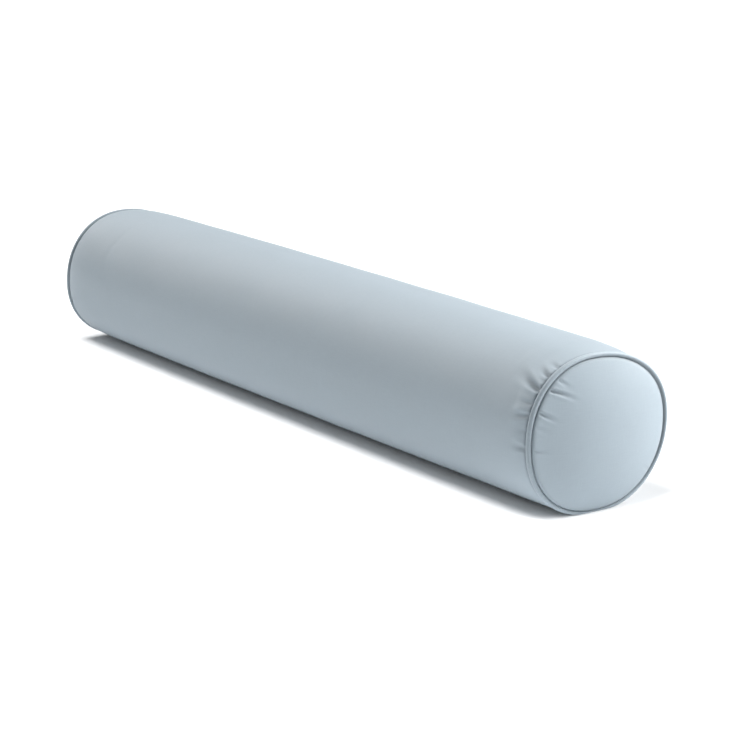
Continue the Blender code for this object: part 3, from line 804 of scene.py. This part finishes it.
def make_filler(name, side):
    """The piping's cotton cord: three soft strands laid round each other."""
    angle = np.linspace(0.0, 360.0, AROUND, endpoint=False)[None, :]
    turn = np.linspace(0.0, 360.0, 24, endpoint=False)[:, None]
    lay = np.radians(3 * (turn - 40 * angle))
    radius = FILLER_RADIUS * (0.93 + 0.07 * np.cos(lay))
    x = side * (END_X + radius * np.cos(np.radians(turn)))
    points = settled(x, RING_RADIUS + radius * np.sin(np.radians(turn)), np.broadcast_to(angle, x.shape))
    closed = np.concatenate([points, points[:1]])
    filler = grid_mesh(f"{name}_piping_filler", closed, wrap=True)
    dress(filler, "filler", "piping_filler", "bolster", f"{name}_piping_cord")


def dress(obj, material, slot_name, body, *nodes):
    """Gives a piece its material, and says what it rides on and stands for. Its slot name is not used."""
    obj.data.materials.clear()
    obj.data.materials.append(MATERIALS[material])
    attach(obj, body)
    if nodes:
        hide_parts(*nodes)


def make_tape(name, side):
    """A woven tape: thicker where the coil is sewn on, thin and slightly wavy towards its free edge."""
    low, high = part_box(name)
    inner = min(abs(low.z - AXIS_HEIGHT), abs(high.z - AXIS_HEIGHT)) - 0.0006
    outer = max(abs(low.z - AXIS_HEIGHT), abs(high.z - AXIS_HEIGHT))
    end = SLIT_HALF_LENGTH + TAPE_PAST_SLIT
    x = np.linspace(-end, end, 280)[:, None]
    across = np.linspace(0.0, 1.0, 13)[None, :]
    stops_low, stops_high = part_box("zip_top_stop_upper")
    past_stops = max(abs(stops_low.x), abs(stops_high.x)) + 0.0005
    edge = inner + (0.0003 - inner) * smoothstep(past_stops, past_stops + 0.004, np.abs(x))
    z = AXIS_HEIGHT + side * (edge + (outer - edge) * across)
    bead = 0.00016 * np.exp(-((across - 0.10) / 0.07) ** 2)
    y = high.y - 0.0001 + bead + 0.00006 * np.sin(x * 700.0) * across
    points = np.stack(np.broadcast_arrays(x, y, z), axis=-1)
    tape = grid_mesh(f"{name}_woven", points)
    if tape.data.polygons[0].normal.y < 0:
        tape.data.flip_normals()
    thickness = tape.modifiers.new("thickness", "SOLIDIFY")
    thickness.thickness = TAPE_THICKNESS
    thickness.offset = -1.0
    apply_modifiers(tape)
    dress(tape, "tape", "zip_tape", "bolster", name)
    return tape


def rounded_solid(name, outlines, centre, thickness, rounding):
    """Flat outlines of (x, z) points round a centre, extruded along Y with rounded edges."""
    curve = bpy.data.curves.new(name, "CURVE")
    curve.dimensions = "2D"
    curve.fill_mode = "BOTH"
    curve.extrude = thickness / 2 - rounding
    curve.bevel_depth = rounding
    curve.bevel_resolution = 2
    curve.offset = -rounding
    for points in outlines:
        spline = curve.splines.new("POLY")
        spline.points.add(len(points) - 1)
        for point, (x, z) in zip(spline.points, points):
            point.co = (x, z, 0.0, 1.0)
        spline.use_cyclic_u = True
    outline = bpy.data.objects.new(name, curve)
    bpy.context.scene.collection.objects.link(outline)
    outline.location = centre
    outline.rotation_euler = (math.pi / 2, 0.0, 0.0)
    bpy.context.view_layer.update()
    mesh = bpy.data.meshes.new_from_object(outline.evaluated_get(bpy.context.evaluated_depsgraph_get()))
    mesh.transform(outline.matrix_world)
    bpy.data.objects.remove(outline)
    edit = bmesh.new()
    edit.from_mesh(mesh)
    bmesh.ops.remove_doubles(edit, verts=edit.verts, dist=0.00001)
    bmesh.ops.recalc_face_normals(edit, faces=edit.faces)
    edit.to_mesh(mesh)
    edit.free()
    mesh.shade_smooth()
    mesh.set_sharp_from_angle(angle=math.radians(50))
    solid = bpy.data.objects.new(name, mesh)
    bpy.context.scene.collection.objects.link(solid)
    return solid


def circle_points(x, z, radius, start, end, steps):
    turn = np.radians(np.linspace(start, end, steps))
    return [(x + radius * math.cos(a), z + radius * math.sin(a)) for a in turn]


def join(name, pieces):
    """Joins mesh objects into the first one."""
    bpy.ops.object.select_all(action="DESELECT")
    for piece in pieces:
        piece.select_set(True)
    bpy.context.view_layer.objects.active = pieces[0]
    bpy.ops.object.join()
    pieces[0].name = name
    return pieces[0]


def slider_joint(name):
    return next(j for j in frame["joints"] if j["name"] == name)


def make_slider():
    """Two rounded plates with turned-in lips, a post between them and an arched bridge for the pull."""
    low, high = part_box("zip_slider")
    middle = (low.x + high.x) / 2
    half = (high.x - low.x) / 2
    wide = (high.z - low.z) / 2
    pull_y = slider_joint("pull_swing")["pos_m"][1]
    top_y = pull_y - 0.0012 - 0.0005
    bottom_y = low.y + 0.0005
    nose = circle_points(-half + 0.0024, 0.0, 0.0024, 250.0, 110.0, 9)
    plate = [(half - 0.0010, wide - 0.0016), (half, wide - 0.0026), (half, -wide + 0.0026),
             (half - 0.0010, -wide + 0.0016), (0.0, -wide), (-half + 0.0018, -wide)] + nose
    plate += [(-half + 0.0018, wide), (0.0, wide)]
    pieces = []
    for y in (top_y, bottom_y):
        pieces.append(rounded_solid("plate", [plate], (middle, y, AXIS_HEIGHT), 0.0010, 0.00025))
    gap = 0.00075
    for y, sign in ((top_y, -1), (bottom_y, 1)):
        reach = abs(y - TAPE_Y) - gap
        for side in (-1, 1):
            lip = [(-half + 0.0020, -0.00035), (half - 0.0028, -0.00035), (half - 0.0028, 0.00035),
                   (-half + 0.0020, 0.00035)]
            centre = (middle, y + sign * reach / 2, AXIS_HEIGHT + side * (wide - 0.00045))
            pieces.append(rounded_solid("lip", [lip], centre, reach, 0.0001))
    post = [(-0.0015, 0.0), (0.0, -0.0004), (0.0015, 0.0), (0.0, 0.0004)]
    centre = (middle - half + 0.0022, (top_y + bottom_y) / 2, AXIS_HEIGHT)
    pieces.append(rounded_solid("post", [post], centre, top_y - bottom_y, 0.00005))
    pieces.append(bridge_arch(middle, top_y + 0.0003, high.y))
    slider = join("zip_slider_metal", pieces)
    dress(slider, "metal", "zip_metal", "zip_slider", "zip_slider")
    return slider


def bridge_arch(middle, foot_y, crown_y):
    """A flat bar bent into an arch along the slider."""
    turn = np.radians(np.linspace(0.0, 180.0, 21))
    span = 0.0023
    bar = 0.00045
    rise = crown_y - foot_y - bar
    path = np.stack([middle + span * np.sign(np.cos(turn)) * np.abs(np.cos(turn)) ** 0.55,
                     foot_y + rise * np.sin(turn) ** 0.7, np.full(21, AXIS_HEIGHT)], axis=-1)
    sides = 12
    ring = np.linspace(0.0, 2 * math.pi, sides, endpoint=False)
    tangent = np.gradient(path, axis=0)
    tangent /= np.linalg.norm(tangent, axis=1, keepdims=True)
    across = np.array([0.0, 0.0, 1.0])
    normal = np.cross(tangent, across)
    flat = np.sign(np.cos(ring)) * np.abs(np.cos(ring)) ** 0.6
    points = (path[:, None] + bar * np.sin(ring)[None, :, None] * normal[:, None]
              + 0.0009 * flat[None, :, None] * across)
    ends = [np.repeat(points[i:i + 1].mean(axis=1, keepdims=True), sides, axis=1) for i in (0, -1)]
    return grid_mesh("bridge", np.concatenate([ends[0], points, ends[1]]), wrap=True)


def make_pull():
    """The pull: a window round the bridge, a waist, and a rounded grip with a hole and five raised ridges.
    """
    low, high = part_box("zip_pull_tab")
    joint = slider_joint("pull_swing")
    x, y, z = joint["pos_m"]
    length = high.x - x
    thick = high.y - low.y
    wide = (high.z - low.z) / 2
    tip_radius = 0.0025
    outer = [(-0.0004, wide - 0.0006), (0.0001, wide - 0.0001), (0.0008, wide), (0.0046, wide),
             (0.0056, wide - 0.0004), (0.0066, wide - 0.0010), (0.0078, wide - 0.0012)]
    tip = circle_points(length - tip_radius, 0.0, tip_radius, 90.0, -90.0, 15)
    outline = outer + tip + [(a, -b) for a, b in reversed(outer)]
    window = [(0.0006, -0.0014), (0.0006, 0.0014), (0.0043, 0.0014), (0.0043, -0.0014)]
    hole = circle_points(length - tip_radius - 0.0002, 0.0, 0.0013, 0.0, 345.0, 24)
    tab = rounded_solid("tab", [outline, window, hole], (x, y, z), thick, 0.00022)
    ridges = []
    for i in range(5):
        at = 0.0105 + i * 0.0018
        bar = [(at, -0.0013), (at + 0.0008, -0.0013), (at + 0.0008, 0.0013), (at, 0.0013)]
        ridges.append(rounded_solid("ridge", [bar], (x, y, z), thick + 0.0003, 0.0002))
    pull = join("zip_pull_metal", [tab] + ridges)
    dress(pull, "metal", "zip_metal", "zip_pull", "zip_pull_tab")
    return pull


def make_stop(node):
    """A clamp of pressed metal with rounded edges, in the CAD stop's place."""
    low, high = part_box(node)
    centre = (low + high) / 2
    half_x, half_z = (high.x - low.x) / 2, (high.z - low.z) / 2
    outline = [(-half_x, -half_z), (half_x, -half_z), (half_x, half_z), (-half_x, half_z)]
    stop = rounded_solid(f"{node}_metal", [outline], centre, high.y - low.y, 0.0005)
    dress(stop, "metal", "zip_metal", "bolster", node)
    return stop


def stitch_run(path_of, start, end, length, gap):
    """Stitches along a path: for each, a short thread that dips into the cloth at both ends."""
    grids = []
    count = int((end - start) / (length + gap))
    for i in range(count):
        first = start + i * (length + gap)
        t = np.linspace(0.0, 1.0, 7)
        path = path_of(first + t * length)
        lift = 0.00022 * np.sin(math.pi * t) ** 0.5 - 0.00010
        path = path + lift[:, None] * np.array([0.0, 1.0, 0.0])
        grids.append(tube_points(path, THREAD_RADIUS, 6))
    return grids


def zip_stitching():
    """Topstitching round the zip: a row above, a row below and a bar across each end."""
    away = math.degrees(math.asin(STITCHES_AWAY / (TUBE_RADIUS * FLATTEN)))
    half = SLIT_HALF_LENGTH + STITCHES_PAST_SLIT

    def along(angle):
        return lambda x: settled(x, TUBE_RADIUS, np.full_like(x, angle))

    def across(x):
        return lambda angle: settled(np.full_like(angle, x), TUBE_RADIUS, angle)

    grids = stitch_run(along(away), -half, half, STITCH_LENGTH, STITCH_GAP)
    grids += stitch_run(along(-away), -half, half, STITCH_LENGTH, STITCH_GAP)
    for x in (-half, half):
        grids += stitch_run(across(x), -away, away, BAR_STITCH_DEGREES, BAR_GAP_DEGREES)
    stitches = join("zip_stitching", [grid_mesh("stitch", grid, wrap=True) for grid in grids])
    dress(stitches, "thread", "cover_fabric", "bolster")
    return stitches


# ---- studio -----------------------------------------------------------------------------------------

def make_floor():
    edit = bmesh.new()
    bmesh.ops.create_grid(edit, x_segments=8, y_segments=8, size=20.0)
    mesh = bpy.data.meshes.new("floor")
    edit.to_mesh(mesh)
    edit.free()
    floor = bpy.data.objects.new("floor", mesh)
    bpy.context.scene.collection.objects.link(floor)
    mesh.materials.append(floor_material())
    return floor


def make_world():
    """A dark studio with one pale wall, brightest straight behind the pillow."""
    world = bpy.data.worlds.new("studio")
    bpy.context.scene.world = world
    world.use_nodes = True
    nodes, links = world.node_tree.nodes, world.node_tree.links
    place = nodes.new("ShaderNodeTexCoord")
    split = nodes.new("ShaderNodeSeparateXYZ")
    ahead = nodes.new("ShaderNodeMapRange")
    squared = nodes.new("ShaderNodeMath")
    squared.operation = "MULTIPLY"
    ahead.inputs["To Max"].default_value = math.sqrt(BACK_WALL)
    links.new(place.outputs["Generated"], split.inputs[0])
    links.new(split.outputs["Y"], ahead.inputs["Value"])
    links.new(ahead.outputs["Result"], squared.inputs[0])
    links.new(ahead.outputs["Result"], squared.inputs[1])
    links.new(squared.outputs[0], nodes["Background"].inputs["Strength"])
    nodes["Background"].inputs["Color"].default_value = (1.0, 1.0, 1.0, 1.0)


def add_sun(name, azimuth, elevation, strength, spread):
    """A soft directional light that comes from a compass angle (0 is +X, 90 is +Y) and elevation."""
    light = bpy.data.lights.new(name, "SUN")
    light.energy = strength
    light.angle = math.radians(spread)
    obj = bpy.data.objects.new(name, light)
    bpy.context.scene.collection.objects.link(obj)
    a, e = math.radians(azimuth), math.radians(elevation)
    source = Vector((math.cos(a) * math.cos(e), math.sin(a) * math.cos(e), math.sin(e)))
    obj.rotation_euler = source.to_track_quat("Z", "Y").to_euler()
    return obj


def add_softbox(name, place, target, size, power):
    """A round softbox at a place, turned to a target."""
    light = bpy.data.lights.new(name, "AREA")
    light.shape = "DISK"
    light.size = size
    light.energy = power
    obj = bpy.data.objects.new(name, light)
    bpy.context.scene.collection.objects.link(obj)
    obj.location = place
    obj.rotation_euler = (Vector(place) - Vector(target)).to_track_quat("Z", "Y").to_euler()
    return obj


def link_light(light, objects, state):
    """Keeps a light for these objects (INCLUDE), or keeps it off them (EXCLUDE)."""
    receivers = bpy.data.collections.new(f"{light.name}_receivers")
    for obj in objects:
        receivers.objects.link(obj)
    for link in receivers.collection_objects:
        link.light_linking.link_state = state
    light.light_linking.receiver_collection = receivers


def make_camera():
    """Looks at the pillow from its right front, from a little above, through a long lens."""
    a, e = math.radians(CAMERA_AZIMUTH), math.radians(CAMERA_ELEVATION)
    forward = Vector((-math.sin(a) * math.cos(e), math.cos(a) * math.cos(e), -math.sin(e)))
    right = forward.cross(Vector((0.0, 0.0, 1.0))).normalized()
    up = right.cross(forward)
    camera = bpy.data.cameras.new("camera")
    camera.sensor_width = 36.0
    camera.lens = CAMERA_LENS
    camera.clip_end = 100.0
    obj = bpy.data.objects.new("camera", camera)
    bpy.context.scene.collection.objects.link(obj)
    middle = Vector((0.0, 0.0, AXIS_HEIGHT))
    obj.location = middle - forward * CAMERA_DISTANCE + right * CAMERA_RIGHT + up * CAMERA_UP
    obj.rotation_euler = forward.to_track_quat("-Z", "Y").to_euler()
    bpy.context.scene.camera = obj


# ---- the scene --------------------------------------------------------------------------------------

MATERIALS = {
    "cover": cover_material(),
    "thread": woven_material("sewing_thread", (0.31, 0.37, 0.42), 0.0004, 0.6, 0.2),
    "tape": woven_material("zip_tape_weave", (0.34, 0.42, 0.49), 0.0007),
    "nylon": nylon_material(),
    "metal": metal_material(),
    "liner": woven_material("liner_cotton", (0.86, 0.86, 0.83), 0.0008),
    "filler": woven_material("piping_cotton", (0.82, 0.80, 0.73), 0.0012),
    "label": woven_material("label_satin", (0.88, 0.88, 0.87), 0.0005, 0.5, 0.3),
    "wadding": fibre_material("polyester_wadding", (0.92, 0.92, 0.92), 700.0, 0.0008),
    "foam": fibre_material("upholstery_foam", (0.88, 0.84, 0.68), 1400.0, 0.0005),
}
INNER_MATERIALS = {
    "liner_left_end": "liner", "liner_right_end": "liner",
    "wadding_wrap": "wadding", "wadding_left_pad": "wadding", "wadding_right_pad": "wadding",
    "foam_core": "foam", "care_label": "label",
}

make_camera()
floor = make_floor()
make_world()
for pillow_light in (
    add_sun("back", 89.0, 35.0, 1.9, 50.0),
    add_sun("overhead", 85.0, 62.0, 2.0, 44.0),
    add_sun("left", 200.0, 40.0, 2.65, 60.0),
    add_softbox("above_right_end", (1.15, 0.8, 1.45), (0.4, 0.0, 0.15), 0.8, 22.0),
):
    pillow_light.data.color = LAMP_COLOUR
    link_light(pillow_light, [floor], "EXCLUDE")
panel_light = add_softbox("beside_right_end", (1.1, 1.5, 0.7), (0.5, 0.0, 0.1), 0.7, 23.0)
panel_light.data.color = LAMP_COLOUR
for floor_light in (
    add_sun("sweep", 270.0, 70.0, 3.1, 22.0),
    add_sun("sweep_fill", 270.0, 36.0, 0.9, 60.0),
    add_sun("sweep_side", 35.0, 25.0, 5.6, 50.0),
):
    link_light(floor_light, [floor], "INCLUDE")

stuffed = stuffed_cover()
make_cover_body(stuffed)
make_liner(stuffed)
right_panel = make_end_panel("right", 1, RIGHT_PANEL_GATHERS, 21)
make_end_panel("left", -1, LEFT_PANEL_GATHERS, 22)
right_piping = make_piping("right", 1, 31)
link_light(panel_light, [right_panel, right_piping], "INCLUDE")
make_piping("left", -1, 32)
make_filler("right", 1)
make_filler("left", -1)
make_tape("zip_tape_upper", 1)
make_tape("zip_tape_lower", -1)
make_coil("zip_coil_upper", 1)
make_coil("zip_coil_lower", -1)
for stop_node in ("zip_top_stop_upper", "zip_top_stop_lower", "zip_bottom_stop"):
    make_stop(stop_node)
make_slider()
make_pull()
zip_stitching()
for node_name, material_name in INNER_MATERIALS.items():
    node = frame["nodes"][node_name]
    node.data.materials.clear()
    node.data.materials.append(MATERIALS[material_name])

bpy.context.scene.view_settings.view_transform = "Standard"
